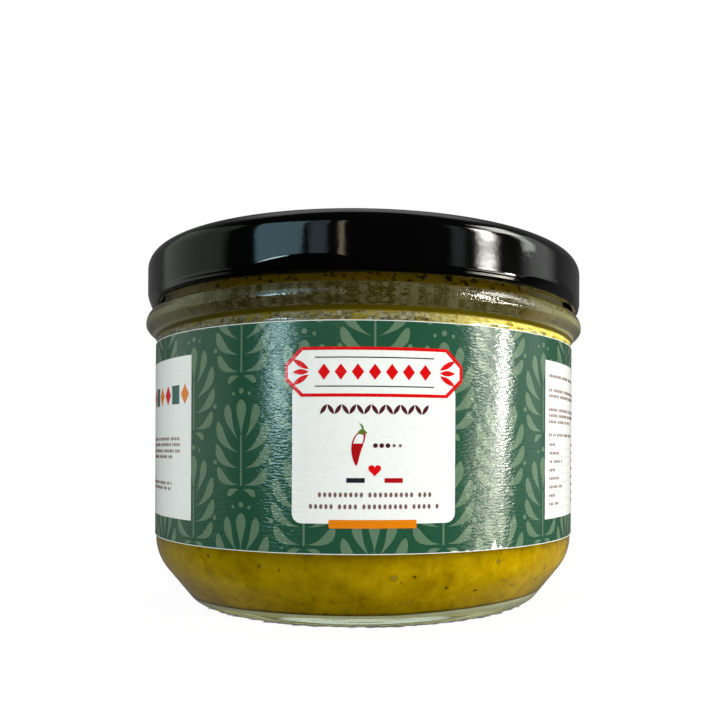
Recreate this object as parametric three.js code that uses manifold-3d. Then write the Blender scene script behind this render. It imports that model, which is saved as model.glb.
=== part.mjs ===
// A squat glass jar of guacamole, shut with a black lacquered twist-off lid and wrapped in a paper label.
// Millimetres, +Z up. The origin is on the ground under the middle of the base, and the label's front faces -Y.
import * as THREE from "three";
import { mergeVertices } from "three/addons/utils/BufferGeometryUtils.js";
import Module from "manifold-3d";

const wasm = await Module();
wasm.setup();

// Driving dimensions: the closure is an 82 mm twist-off, 86 mm across its skirt.
const LID_RADIUS = 43;
const BODY_RADIUS = 41.35;
const TOTAL_HEIGHT = 66;
const WALL = 2.6;
const CLEARANCE = 0.3; // between the food and the glass

// Every round piece is turned in the same steps, so neighbouring facets lie parallel.
const TURN_STEPS = 60;
const STEP_ANGLE = (2 * Math.PI) / TURN_STEPS;

// Base of the jar: a foot ring round a shallow push-up, and a side that slopes in towards it.
const PUSH_UP = 1.5;
const PUSH_UP_SHOULDER_RADIUS = 18;
const PUSH_UP_SHOULDER = 1.1;
const FOOT_INNER_RADIUS = 30;
const FOOT_INNER_SLOPE = { run: 1.6, rise: 0.45 };
const FOOT_ARC = 3.4;
const HEEL_ARC = 9.4;
const HEEL_TOP = 12.45;
const HEEL_SLOPE = THREE.MathUtils.degToRad(38); // from the vertical
const BASE_THICKNESS = 2.8;
const CAVITY_FOOT_ARC = 5.6;

// Shoulder bead that the lid's edge sits above. Its face is a little proud of the closure.
const BODY_TOP = 49.4;
const BEAD = {
  root: { radius: 41.9, height: 50.5 },
  lowEdge: { radius: 42.75, height: 51.3 },
  low: { radius: 43.22, height: 52 },
  middle: { radius: 43.3, height: 52.7 },
  high: { radius: 43.16, height: 53.4 },
  highEdge: { radius: 42.75, height: 54.2 },
  top: { radius: 42.2, height: 54.5 },
};

// The finish above the bead, which carries the threads and ends in a rounded rim.
const NECK_RADIUS = 39.9;
const NECK_FOOT = { radius: 40.4, height: 54.65 };
const NECK_START = 55.2;
const MOUTH_RADIUS = 37.3;
const MOUTH_START = BEAD.top.height;
const SHOULDER_START = 48.2; // where the cavity begins to narrow
const SHOULDER_MIDDLE = 51.3;
const RIM_HEIGHT = 65;
const RIM_ARC = 0.8;

// Threads: one short ridge for each of the lid's lugs, rising to the right.
const LUGS = 6;
const THREAD_REACH = 1.1;
const THREAD_ROOT = 0.6; // how far its section is sunk in the neck
const THREAD_HEIGHT = 1.5;
const THREAD_FLANK = { height: 0.75, reach: 0.7 }; // shares of its half height and reach, where it rounds over
const THREAD_SPAN = THREE.MathUtils.degToRad(46);
const THREAD_START = 58.7;
const THREAD_RISE = 1.7;
const THREAD_STEPS = 8;

// Lid: a pressed steel cap with a rounded shoulder, a recessed panel with a vacuum button and a curled edge.
const LID_BOTTOM = 55.8;
const LID_STEEL = 0.5; // the sheet with its lacquer and sealing compound
const LID_SHOULDER_ARC = 3.2;
const PANEL_RADIUS = 31;
const PANEL_SLOPE = 1.6;
const PANEL_RECESS = 0.9;
const BUTTON_RADIUS = 11;
const BUTTON_SLOPE = 1;
const BUTTON_RECESS = 0.5;
const CURL_HEIGHT = 1.5;
const CURL_WIDTH = 1.4;
const CURL_INSET = 0.15;
const LUG_SPAN = THREE.MathUtils.degToRad(27);
const LUG_FIRST = THREE.MathUtils.degToRad(-14); // from the label's middle, towards its right
const LUG_PRESS = 0.75; // how far a lug is pressed in
const LUG_TOP = 57.4;
const LUG_FULLNESS = 0.6; // under 1, so that a lug's press is flat in its middle and steep at its ends

// Food and label.
const FOOD_LEVEL = 61;
const LABEL_BOTTOM = 13;
const LABEL_TOP = 48.7;
const LABEL_GAP = 0.05;
const LABEL_OUTER_RADIUS = 41.6;
const LABEL_OPEN_STEPS = 2; // turning steps of bare glass where its ends nearly meet, at the back

const FINISH = {
  glass: { color: "#c9d3c1", roughness: 0.05, metalness: 0, transparent: true, opacity: 0.35 },
  lid: { color: "#0b0c0c", roughness: 0.18, metalness: 0 },
  guacamole: { color: "#96800f", roughness: 0.55, metalness: 0 },
  label: { color: "#2b5b43", roughness: 0.4, metalness: 0 },
};

const point = (radius, height) => new THREE.Vector2(radius, height);

// Points of an arc in a profile, from one angle to another, measured from the radial direction.
function arc(centreRadius, centreHeight, size, from, to, steps) {
  return Array.from({ length: steps + 1 }, (_, i) => {
    const angle = from + ((to - from) * i) / steps;
    return point(centreRadius + size * Math.cos(angle), centreHeight + size * Math.sin(angle));
  });
}

// A profile turned about +Z. Its points run up the outside and down the inside.
function turned(profile) {
  return new THREE.LatheGeometry(profile, TURN_STEPS).rotateX(Math.PI / 2);
}

function asSolid(geometry) {
  const bare = geometry.clone();
  bare.deleteAttribute("normal");
  bare.deleteAttribute("uv");
  const merged = mergeVertices(bare, 1e-4);
  const index = merged.index.array;
  const triVerts = [];
  for (let i = 0; i < index.length; i += 3) {
    const [a, b, c] = [index[i], index[i + 1], index[i + 2]];
    if (a !== b && b !== c && c !== a) triVerts.push(a, b, c);
  }
  return new wasm.Manifold(
    new wasm.Mesh({
      numProp: 3,
      vertProperties: merged.attributes.position.array,
      triVerts: new Uint32Array(triVerts),
    }),
  );
}

function asGeometry(solid) {
  const { vertProperties, triVerts } = solid.getMesh();
  return new THREE.BufferGeometry()
    .setAttribute("position", new THREE.BufferAttribute(vertProperties, 3))
    .setIndex(new THREE.BufferAttribute(triVerts, 1));
}

// A heel from the ground up: a foot arc and a heel arc, joined by a straight slope that touches both.
function heelProfile({ radius, top, heelArc, footArc, floor }) {
  const slopeTopRadius = radius - heelArc * (1 - Math.cos(HEEL_SLOPE));
  const slopeTop = top - heelArc * Math.sin(HEEL_SLOPE);
  const slopeFoot = floor + footArc * (1 - Math.sin(HEEL_SLOPE));
  const slopeFootRadius = slopeTopRadius - (slopeTop - slopeFoot) * Math.tan(HEEL_SLOPE);
  const footRadius = slopeFootRadius - footArc * Math.cos(HEEL_SLOPE);
  return [
    ...arc(footRadius, floor + footArc, footArc, -Math.PI / 2, -HEEL_SLOPE, 3),
    ...arc(radius - heelArc, top, heelArc, -HEEL_SLOPE, 0, 4),
  ];
}

// Inside of the jar from its middle up to the mouth, moved in by a clearance for what fills it.
function cavityProfile(inset, top) {
  const floor = BASE_THICKNESS + inset;
  const radius = BODY_RADIUS - WALL - inset;
  const mouth = MOUTH_RADIUS - inset;
  const heelArc = HEEL_ARC - WALL - inset;
  return [
    point(0, PUSH_UP + floor),
    point(PUSH_UP_SHOULDER_RADIUS, PUSH_UP_SHOULDER + floor),
    ...heelProfile({ radius, top: HEEL_TOP, heelArc, footArc: CAVITY_FOOT_ARC, floor }),
    point(radius, SHOULDER_START),
    point((radius + mouth) / 2, SHOULDER_MIDDLE),
    point(mouth, MOUTH_START),
    point(mouth, top),
  ];
}

function baseProfile() {
  return [
    point(0, PUSH_UP),
    point(PUSH_UP_SHOULDER_RADIUS, PUSH_UP_SHOULDER),
    point(FOOT_INNER_RADIUS - FOOT_INNER_SLOPE.run, FOOT_INNER_SLOPE.rise),
    point(FOOT_INNER_RADIUS, 0),
    ...heelProfile({ radius: BODY_RADIUS, top: HEEL_TOP, heelArc: HEEL_ARC, footArc: FOOT_ARC, floor: 0 }),
  ];
}

function beadProfile() {
  const bead = Object.values(BEAD).map(({ radius, height }) => point(radius, height));
  return [point(BODY_RADIUS, BODY_TOP), ...bead];
}

// The finish's outer wall and rounded rim, which the inside then leaves.
function finishProfile() {
  return [
    point(NECK_FOOT.radius, NECK_FOOT.height),
    point(NECK_RADIUS, NECK_START),
    ...arc(NECK_RADIUS - RIM_ARC, RIM_HEIGHT - RIM_ARC, RIM_ARC, 0, Math.PI / 2, 3),
    point(MOUTH_RADIUS + RIM_ARC, RIM_HEIGHT),
  ];
}

// The rising line round the neck that a thread follows, centred on the front.
class ThreadLine extends THREE.Curve {
  getPoint(share) {
    const angle = (share - 0.5) * THREAD_SPAN;
    const height = THREAD_START + share * THREAD_RISE;
    return new THREE.Vector3(Math.sin(angle) * NECK_RADIUS, -Math.cos(angle) * NECK_RADIUS, height);
  }
}

// One thread ridge. Its section's x runs along the height, and its y points into the neck.
function threadRidge() {
  const half = THREAD_HEIGHT / 2;
  const flank = { height: half * THREAD_FLANK.height, reach: THREAD_REACH * THREAD_FLANK.reach };
  const section = new THREE.Shape([
    point(-half, THREAD_ROOT),
    point(-flank.height, -flank.reach),
    point(0, -THREAD_REACH),
    point(flank.height, -flank.reach),
    point(half, THREAD_ROOT),
  ]);
  return new THREE.ExtrudeGeometry(section, { steps: THREAD_STEPS, extrudePath: new ThreadLine() });
}

// Angle of each lug from -Y towards +X.
function lugAngles() {
  return Array.from({ length: LUGS }, (_, i) => LUG_FIRST + (i * 2 * Math.PI) / LUGS);
}

function glassJar() {
  const outside = [...baseProfile(), ...beadProfile(), ...finishProfile()];
  const inside = cavityProfile(0, RIM_HEIGHT - RIM_ARC).reverse();
  let jar = asSolid(turned([...outside, ...inside]));
  for (const angle of lugAngles()) {
    // A ridge starts over the middle of the lug that it holds.
    jar = jar.add(asSolid(threadRidge().rotateZ(angle + THREAD_SPAN / 2)));
  }
  return asGeometry(jar);
}

function guacamole() {
  return turned([...cavityProfile(CLEARANCE, FOOD_LEVEL), point(0, FOOD_LEVEL)]);
}

// How far a lug is pressed in at an angle, as a share of its depth.
function lugPress(angle) {
  return Math.max(
    ...lugAngles().map((middle) => {
      const away = Math.abs(Math.atan2(Math.sin(angle - middle), Math.cos(angle - middle)));
      return away < LUG_SPAN / 2 ? Math.cos((away / LUG_SPAN) * Math.PI) ** LUG_FULLNESS : 0;
    }),
  );
}

// Top of the lid from its shoulder to its middle, lowered by the thickness of what is above it.
function panelProfile(below) {
  const edge = PANEL_RADIUS + below;
  return [
    point(edge + PANEL_SLOPE, TOTAL_HEIGHT - below),
    point(edge, TOTAL_HEIGHT - PANEL_RECESS - below),
    point(BUTTON_RADIUS + BUTTON_SLOPE, TOTAL_HEIGHT - PANEL_RECESS - below),
    point(BUTTON_RADIUS, TOTAL_HEIGHT - PANEL_RECESS - BUTTON_RECESS - below),
    point(0, TOTAL_HEIGHT - PANEL_RECESS - BUTTON_RECESS - below),
  ];
}

function lidProfile() {
  const shoulder = LID_SHOULDER_ARC;
  const shoulderRadius = LID_RADIUS - shoulder;
  const shoulderHeight = TOTAL_HEIGHT - shoulder;
  const curlSize = CURL_WIDTH / 2;
  const curlRadius = LID_RADIUS - CURL_INSET - curlSize;
  const curlHeight = LID_BOTTOM + CURL_HEIGHT / 2;
  const outside = [
    ...arc(curlRadius, curlHeight, curlSize, -Math.PI / 2, 0, 3),
    point(LID_RADIUS, LUG_TOP),
    ...arc(shoulderRadius, shoulderHeight, shoulder, 0, Math.PI / 2, 5),
    ...panelProfile(0),
  ];
  const inside = [
    ...panelProfile(LID_STEEL).reverse(),
    ...arc(shoulderRadius, shoulderHeight, shoulder - LID_STEEL, Math.PI / 2, 0, 3),
    point(LID_RADIUS - LID_STEEL, LUG_TOP + LID_STEEL),
    ...arc(curlRadius, curlHeight, curlSize, (3 * Math.PI) / 4, (5 * Math.PI) / 4, 2),
  ];
  return [...outside, ...inside, outside[0].clone()];
}

// The lid's edge is pressed in where each lug is.
function lid() {
  const geometry = turned(lidProfile());
  const places = geometry.attributes.position;
  for (let i = 0; i < places.count; i++) {
    const [x, y, z] = [places.getX(i), places.getY(i), places.getZ(i)];
    if (z >= LUG_TOP) continue;
    const depth = (LUG_TOP - z) / (LUG_TOP - LID_BOTTOM);
    const share = 1 - (LUG_PRESS * depth * lugPress(Math.atan2(x, -y))) / Math.hypot(x, y);
    places.setXY(i, x * share, y * share);
  }
  return geometry;
}

// The label as a band of a ring, open at the back by a few turning steps.
function label() {
  const steps = TURN_STEPS - LABEL_OPEN_STEPS;
  const ring = (radius) =>
    Array.from({ length: steps + 1 }, (_, i) => {
      const angle = (i - steps / 2) * STEP_ANGLE - Math.PI / 2;
      return new THREE.Vector2(radius * Math.cos(angle), radius * Math.sin(angle));
    });
  const outline = new THREE.Shape([...ring(LABEL_OUTER_RADIUS), ...ring(BODY_RADIUS + LABEL_GAP).reverse()]);
  const depth = LABEL_TOP - LABEL_BOTTOM;
  return new THREE.ExtrudeGeometry(outline, { depth, bevelEnabled: false }).translate(0, 0, LABEL_BOTTOM);
}

function piece(name, geometry, finish) {
  const mesh = new THREE.Mesh(geometry, new THREE.MeshStandardMaterial(finish));
  mesh.name = name;
  return mesh;
}

const jarOfGuacamole = new THREE.Group();
jarOfGuacamole.add(
  piece("glass_jar", glassJar(), FINISH.glass),
  piece("guacamole", guacamole(), FINISH.guacamole),
  piece("label", label(), FINISH.label),
  piece("lid", lid(), FINISH.lid),
);

export default jarOfGuacamole;
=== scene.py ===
# %% [markdown]
# # A shut jar of guacamole
# The object is a squat glass jar, filled with guacamole, shut with a black lacquered twist-off lid and
# wrapped in a printed paper label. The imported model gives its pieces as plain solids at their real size.
# This lesson dresses them: each piece is made again as a finer mesh of the same form, and is given a
# material that behaves as the real one does.
# The model could be dressed by materials alone, but its facets would show in the glass and in the lacquer,
# which mirror and bend light. So the four pieces are replaced, and the frame keeps their places.

# %% Load the frame
import math
import random

import bmesh
import bpy
import numpy as np
from mathutils import Matrix, Vector, noise


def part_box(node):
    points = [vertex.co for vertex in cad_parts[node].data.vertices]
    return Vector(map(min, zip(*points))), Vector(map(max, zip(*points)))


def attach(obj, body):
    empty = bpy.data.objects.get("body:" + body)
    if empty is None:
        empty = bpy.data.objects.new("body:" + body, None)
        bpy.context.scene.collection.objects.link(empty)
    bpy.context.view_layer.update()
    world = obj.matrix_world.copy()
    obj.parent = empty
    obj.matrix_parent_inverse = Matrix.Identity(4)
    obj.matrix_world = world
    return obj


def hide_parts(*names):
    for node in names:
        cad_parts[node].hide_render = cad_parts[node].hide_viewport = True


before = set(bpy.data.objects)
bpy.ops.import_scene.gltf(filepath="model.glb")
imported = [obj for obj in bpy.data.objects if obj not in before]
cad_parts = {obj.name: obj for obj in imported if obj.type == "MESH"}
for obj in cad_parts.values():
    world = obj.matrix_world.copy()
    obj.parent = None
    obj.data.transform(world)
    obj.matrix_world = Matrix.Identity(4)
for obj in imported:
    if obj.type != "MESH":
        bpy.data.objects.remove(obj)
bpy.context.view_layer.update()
print("nodes:", sorted(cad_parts))

# %% [markdown]
# ## Sizes
# Blender works in metres, and a jar is easier to think of in millimetres. All sizes below are in
# millimetres, and are turned to metres once, where a mesh is made. What the frame already says, such as
# the lid's radius, is read from it instead of being written again.

# %% Sizes that the frame gives
MM = 0.001


def reach(node):
    """A node's radius, and its lowest and highest point, in millimetres."""
    low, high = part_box(node)
    return high[0] / MM, low[2] / MM, high[2] / MM


LID_RADIUS, LID_BOTTOM, LID_TOP = reach("lid")
BEAD_RADIUS, _, RIM_HEIGHT = reach("glass_jar")
LABEL_RADIUS, LABEL_BOTTOM, LABEL_TOP = reach("label")
FOOD_RADIUS, _, FOOD_LEVEL = reach("guacamole")
print(f"lid {2 * LID_RADIUS:.1f} across, jar {RIM_HEIGHT:.1f} high, food up to {FOOD_LEVEL:.1f}")
print(f"label from {LABEL_BOTTOM:.1f} to {LABEL_TOP:.1f}")

# %% [markdown]
# ## The camera
# The photograph was taken from close by, 153 mm from the jar's axis and 29 mm above the table, with the
# camera held level. The jar stands low in the picture, which a level camera can only do with its lens
# shifted, so the shift is part of the fit. Tilting the camera instead would make the jar's sides lean.
# The label's middle is turned a little to the right of the view, so the camera is turned by the same angle.

# %% Make the camera
PHOTO_SIZE = 720
FOCAL_PIXELS = 737.2
OPTICAL_CENTRE = (400.1, 450.3)  # in the photograph's pixels, from its upper left
SENSOR = 36.0
AXIS_AHEAD = 153.3  # the jar's axis from the camera, along its view and to its left
AXIS_LEFT = 7.1
CAMERA_HEIGHT = 28.9
VIEW_TURN = 4.5  # degrees, from straight at the label's middle towards its right
CAMERA_ROLL = 0.25

turn = math.radians(VIEW_TURN)
ahead = Vector((math.sin(turn), math.cos(turn), 0))
right = Vector((math.cos(turn), -math.sin(turn), 0))
camera_data = bpy.data.cameras.new("photo_camera")
camera_data.sensor_width = SENSOR
camera_data.lens = FOCAL_PIXELS / PHOTO_SIZE * SENSOR
camera_data.shift_x = (PHOTO_SIZE / 2 - OPTICAL_CENTRE[0]) / PHOTO_SIZE
camera_data.shift_y = (OPTICAL_CENTRE[1] - PHOTO_SIZE / 2) / PHOTO_SIZE
camera_data.clip_start = 0.005
camera = bpy.data.objects.new("photo_camera", camera_data)
bpy.context.collection.objects.link(camera)
camera.location = (AXIS_LEFT * right - AXIS_AHEAD * ahead + Vector((0, 0, CAMERA_HEIGHT))) * MM
level = Matrix.Rotation(-turn, 4, "Z") @ Matrix.Rotation(math.radians(90), 4, "X")
camera.rotation_euler = (level @ Matrix.Rotation(math.radians(CAMERA_ROLL), 4, "Z")).to_euler()
bpy.context.scene.camera = camera
print(f"camera at {[round(c / MM, 1) for c in camera.location]} mm, lens {camera_data.lens:.1f} mm")

# %% [markdown]
# ## Two small tools for materials
# Colours are written as the sRGB hex values that a colour picker shows. Blender's shaders work with linear
# light, so one function turns a hex value to linear. Another adds a node with its settings and links, which
# keeps each material below a short list of what it is made of.

# %% Colour and node helpers
def linear(hex_colour, alpha=1.0):
    """An sRGB hex colour as linear red, green, blue and alpha."""
    shares = [int(hex_colour[i : i + 2], 16) / 255 for i in (1, 3, 5)]
    return (*[s / 12.92 if s <= 0.04045 else ((s + 0.055) / 1.055) ** 2.4 for s in shares], alpha)


def add(tree, kind, inputs=None, **settings):
    """Adds a node. Each input is a plain value, or the output socket that feeds it."""
    made = tree.nodes.new(kind)
    for name, value in settings.items():
        setattr(made, name, value)
    for name, value in (inputs or {}).items():
        if isinstance(value, bpy.types.NodeSocket):
            tree.links.new(value, made.inputs[name])
        else:
            made.inputs[name].default_value = value
    return made


def material(name):
    """An empty material and its node tree."""
    made = bpy.data.materials.new(name)
    made.use_nodes = True
    made.node_tree.nodes.clear()
    return made, made.node_tree


half_grey = linear("#808080")
print(f"half grey is {half_grey[0]:.3f} linear")

# %% [markdown]
# ## The studio
# The photograph shows the jar on white, lit by a tall bright window on its right and a dimmer, cooler one on
# its left, with the room dark in front. Those windows are what shape the black lid and the glass, so they
# are set by the bearing at which the lid mirrors them. One environment can't be white behind the jar and
# dark in the lacquer at once, so the world tells apart what a ray is. Seen directly it is white. Mirrored it
# is a dark room, with a grey wall behind the jar and a patch of pale ceiling over it that draws a fine light
# line on the lid's top edge. As light on the label and the food it is soft, and a little stronger from the
# bright window's side. Each part of the room starts softly, over a span of the ray's direction.

# %% The world
SEEN_WHITE = 1.0
SOFT_LIGHT = 0.62
SIDE_LIGHT = 0.1  # more of it from the window's side
SIDE_SPAN = (-0.7, 0.2)  # from left to right
BACK_WALL = 0.13
BACK_WALL_SPAN = (0.0, 0.5)  # away from the camera
CEILING = 0.75
CEILING_SPAN = (0.7, 0.9)  # upward
CEILING_BACK = (0.02, 0.16)  # away from the camera
CEILING_SIDES = (0.6, 0.3)  # inward from either side

world = bpy.data.worlds.new("studio_world")
bpy.context.scene.world = world
world.use_nodes = True
sky = world.node_tree
sky.nodes.clear()
ray = add(sky, "ShaderNodeLightPath")
mirrored = add(sky, "ShaderNodeMath", {0: ray.outputs["Is Glossy Ray"], 1: ray.outputs["Is Reflection Ray"]},
               operation="MULTIPLY")
scattered = add(sky, "ShaderNodeMath", {0: ray.outputs["Diffuse Depth"], 1: 0.5}, operation="GREATER_THAN")
towards = add(sky, "ShaderNodeSeparateXYZ", {0: add(sky, "ShaderNodeTexCoord").outputs["Generated"]})


def sky_step(axis, ends, height=1.0):
    """Rises softly from nothing to a height while a ray's direction passes between two values."""
    return add(sky, "ShaderNodeMapRange", {"Value": towards.outputs[axis], "From Min": ends[0],
                                           "From Max": ends[1], "To Max": height},
               interpolation_type="SMOOTHSTEP").outputs[0]


back_wall = sky_step("Y", BACK_WALL_SPAN, BACK_WALL)
ceiling = sky_step("Z", CEILING_SPAN, CEILING)
for limit in (sky_step("Y", CEILING_BACK), sky_step("X", CEILING_SIDES),
              sky_step("X", [-end for end in CEILING_SIDES])):
    ceiling = add(sky, "ShaderNodeMath", {0: ceiling, 1: limit}, operation="MULTIPLY").outputs[0]
wall = add(sky, "ShaderNodeMath", {0: back_wall, 1: ceiling}, operation="ADD")
side = sky_step("X", SIDE_SPAN, SIDE_LIGHT)
soft = add(sky, "ShaderNodeMath", {0: side, 1: SOFT_LIGHT}, operation="ADD")
seen = add(sky, "ShaderNodeMix", {"Factor": scattered.outputs[0], "A": SEEN_WHITE, "B": soft.outputs[0]})
strength = add(sky, "ShaderNodeMix", {"Factor": mirrored.outputs[0], "A": seen.outputs[0],
                                      "B": wall.outputs[0]})
backdrop = add(sky, "ShaderNodeBackground", {"Color": (1, 1, 1, 1), "Strength": strength.outputs[0]})
add(sky, "ShaderNodeOutputWorld", {"Surface": backdrop.outputs[0]})
bpy.context.scene.view_settings.view_transform = "Standard"
print(f"world: {len(sky.nodes)} nodes")

# %% [markdown]
# Each window is an area lamp. It is placed by the compass bearing and the height at which the jar sees it,
# and sized by the angles that it spans, two metres off. A lamp's power spread over its area and over the
# half sphere that it shines into gives its brightness, so the power is worked out from the brightness.
# A window's edge in a room is soft, from curtains and a deep sill, and the lamp fades at its sides. The
# bright window has a rail across it, which dims the middle of its image on the lid. Sills, a blind and
# pale walls fill what the lid's edges, the bead and the label's gloss mirror. Those that would light the
# food and the paper too much are only mirrored.

# %% The windows
LAMP_DISTANCE = 2.0
LAMP_TARGET = Vector((0, 0, 0.04))
RAIL_HALF = 0.06  # of the window's height
RAIL_SHARE = 0.28  # of its brightness


def window(name, bearing, height, brightness, hex_colour, fade=0.25, rail=None, lights=True):
    """A lamp that spans two bearings and two heights in degrees, seen from the jar in the photo's view.

    It fades over a share of its width at its sides. A rail across it, at a share of its height, is dim. One
    that doesn't light the paper and the food is only mirrored.
    """
    middle = math.radians(sum(bearing) / 2 - VIEW_TURN)
    raised = math.radians(sum(height) / 2)
    out = Vector((math.sin(middle) * math.cos(raised), -math.cos(middle) * math.cos(raised),
                  math.sin(raised)))
    lamp = bpy.data.lights.new(name, "AREA")
    lamp.shape = "RECTANGLE"
    lamp.size = 2 * LAMP_DISTANCE * math.tan(math.radians(bearing[1] - bearing[0]) / 2)
    lamp.size_y = 2 * LAMP_DISTANCE * math.tan(math.radians(height[1] - height[0]) / 2)
    lamp.energy = brightness * math.pi * lamp.size * lamp.size_y
    lamp.use_nodes = True
    tree = lamp.node_tree
    tree.nodes.clear()
    across = add(tree, "ShaderNodeSeparateXYZ", {0: add(tree, "ShaderNodeNewGeometry").outputs["Parametric"]})
    from_side = add(tree, "ShaderNodeMath", {0: across.outputs["X"], 1: 0.5}, operation="PINGPONG")
    edge = add(tree, "ShaderNodeMapRange", {"Value": from_side.outputs[0], "From Max": fade},
               interpolation_type="SMOOTHSTEP")
    share = edge
    if rail:
        apart = add(tree, "ShaderNodeMath", {0: across.outputs["Y"], 1: rail}, operation="SUBTRACT")
        apart = add(tree, "ShaderNodeMath", {0: apart.outputs[0]}, operation="ABSOLUTE")
        bright = add(tree, "ShaderNodeMapRange", {"Value": apart.outputs[0], "From Max": RAIL_HALF,
                                                  "To Min": RAIL_SHARE})
        share = add(tree, "ShaderNodeMath", {0: edge.outputs[0], 1: bright.outputs[0]}, operation="MULTIPLY")
    glow = add(tree, "ShaderNodeEmission", {"Color": linear(hex_colour), "Strength": share.outputs[0]})
    add(tree, "ShaderNodeOutputLight", {0: glow.outputs[0]})
    held = bpy.data.objects.new(name, lamp)
    bpy.context.collection.objects.link(held)
    held.location = LAMP_TARGET + out * LAMP_DISTANCE
    held.rotation_euler = (-out).to_track_quat("-Z", "Y").to_euler()
    held.visible_diffuse = lights
    print(f"{name}: {lamp.size:.2f} by {lamp.size_y:.2f} m, {lamp.energy:.0f} W")


window("window_right", (56, 71), (9, 34), 26, "#fffdf4", fade=0.4, rail=0.268)
window("window_right_dim", (42, 53), (8, 34), 0.6, "#c6d6d4", fade=0.4)
window("sill_high", (73, 81), (3, 10), 85, "#fffcf4", fade=0.4)
window("sill_middle", (64, 80), (-2, 3), 17, "#fffcf0", fade=0.4, lights=False)
window("sill_low", (50, 85), (-8, -2), 15, "#fffae8", fade=0.4, lights=False)
window("wall_right", (82, 116), (-5, 40), 1.2, "#eef2ee", fade=0.45)
window("wall_right_near", (84, 97), (15.5, 34), 5.0, "#eef2ee", fade=0.4, lights=False)
window("blind_right", (70, 100), (34, 50), 10, "#fbfcf4", fade=0.4, lights=False)
window("window_left", (-53, -27), (13, 36), 3.7, "#92bccb", fade=0.12)
window("window_left_low", (-50, -33), (3, 10.5), 21, "#bfe0ea", fade=0.3, lights=False)
window("window_left_inner", (-26, -15), (13, 36), 1.5, "#a2b6c2", fade=0.25)
window("curtain_edge", (-11.2, -7.6), (10, 34), 4.2, "#dccdb0", fade=0.45)
window("wall_left", (-122, -67), (12, 42), 0.42, "#def0dc", fade=0.15)
window("wall_left_low", (-122, -62), (-7, 12), 0.6, "#eef4ea", fade=0.25)

# %% [markdown]
# The floor is a white sweep, lit so brightly that hardly any shadow is left on it, as shops like it. Real
# sweeps curve up behind the object, but this one has to look right from every side, so it is a wide disc.
# A trace of paper that takes shadow is mixed in close to the jar, and a thin ragged ring of painted shadow
# is dark where the foot stands on it. The lid and the label don't see the floor, because the photograph's lid
# mirrors no white floor. The food sees it through the glass, and for the food the floor is brighter on the
# window's side, where the table throws light up into the jar.

# %% The floor
FLOOR_RADIUS = 3000.0
SHADOW_REACH = (45.0, 100.0)
SHADOW_SHARE = 0.06
FLOOR_WHITE = 1.02 * SEEN_WHITE
TABLE_GLOW = 1.5  # how much more light the table sends up to the food on its right
TABLE_GLOW_SPAN = 70.0  # how far to the right of the jar's axis the glow goes on growing
FOOT_SHADOW_RING = (29.0, 31.0, 33.1, 33.6)  # radii at which the dark ring starts, is full, fades and ends
CONTACT_RAGGED = 2.4  # how far the ring's outer edge wanders
CONTACT_PITCH = 2.0  # how long one bay of that edge is
CONTACT_LEFT = 0.1  # brightness that is left in the ring

paper_floor, tree = material("matte_paper_floor")
place = add(tree, "ShaderNodeTexCoord")
away = add(tree, "ShaderNodeVectorMath", {0: place.outputs["Object"]}, operation="LENGTH")
near = add(tree, "ShaderNodeMapRange", {"Value": away.outputs["Value"], "From Min": SHADOW_REACH[1] * MM,
                                        "From Max": SHADOW_REACH[0] * MM, "To Max": SHADOW_SHARE},
           interpolation_type="SMOOTHSTEP")
lit = add(tree, "ShaderNodeBsdfDiffuse", {"Color": linear("#f4f4f2")})
ragged = add(tree, "ShaderNodeTexNoise", {"Vector": place.outputs["Object"],
                                          "Scale": 1 / (CONTACT_PITCH * MM)})
wandered = add(tree, "ShaderNodeMath", {0: ragged.outputs[0], 1: CONTACT_RAGGED * MM,
                                        2: away.outputs["Value"]}, operation="MULTIPLY_ADD")
wandered = add(tree, "ShaderNodeMath", {0: wandered.outputs[0], 1: CONTACT_RAGGED / 2 * MM},
               operation="SUBTRACT")
# Painted shadow: a ragged dark ring on the floor where the foot stands.
ring_in = add(tree, "ShaderNodeMapRange", {"Value": away.outputs["Value"], "From Min": FOOT_SHADOW_RING[0] * MM,
                                           "From Max": FOOT_SHADOW_RING[1] * MM})
ring_out = add(tree, "ShaderNodeMapRange", {"Value": wandered.outputs[0], "From Min": FOOT_SHADOW_RING[2] * MM,
                                            "From Max": FOOT_SHADOW_RING[3] * MM})
painted_shadow = add(tree, "ShaderNodeMath", {0: ring_in.outputs[0], 1: ring_out.outputs[0]}, operation="SUBTRACT")
ray = add(tree, "ShaderNodeLightPath")
scattered = add(tree, "ShaderNodeMath", {0: ray.outputs["Diffuse Depth"], 1: 0.5}, operation="GREATER_THAN")
aside = add(tree, "ShaderNodeSeparateXYZ", {0: place.outputs["Object"]}).outputs["X"]
sunny = add(tree, "ShaderNodeMapRange", {"Value": aside, "From Max": TABLE_GLOW_SPAN * MM,
                                         "To Max": TABLE_GLOW}, interpolation_type="SMOOTHSTEP")
more = add(tree, "ShaderNodeMath", {0: scattered.outputs[0], 1: sunny.outputs[0], 2: FLOOR_WHITE},
           operation="MULTIPLY_ADD")
glow = add(tree, "ShaderNodeMix", {"Factor": painted_shadow.outputs[0], "A": more.outputs[0], "B": CONTACT_LEFT})
white = add(tree, "ShaderNodeEmission", {"Strength": glow.outputs[0]})
both = add(tree, "ShaderNodeMixShader", {0: near.outputs[0], 1: white.outputs[0], 2: lit.outputs[0]})
add(tree, "ShaderNodeOutputMaterial", {"Surface": both.outputs[0]})

disc = bmesh.new()
bmesh.ops.create_circle(disc, cap_ends=True, segments=96, radius=FLOOR_RADIUS * MM)
floor_mesh = bpy.data.meshes.new("floor")
disc.to_mesh(floor_mesh)
disc.free()
floor_mesh.materials.append(paper_floor)
floor = bpy.data.objects.new("floor", floor_mesh)
bpy.context.collection.objects.link(floor)
floor.visible_diffuse = False
floor.visible_glossy = False
print(f"floor: {2 * FLOOR_RADIUS * MM:.0f} m across")

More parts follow.
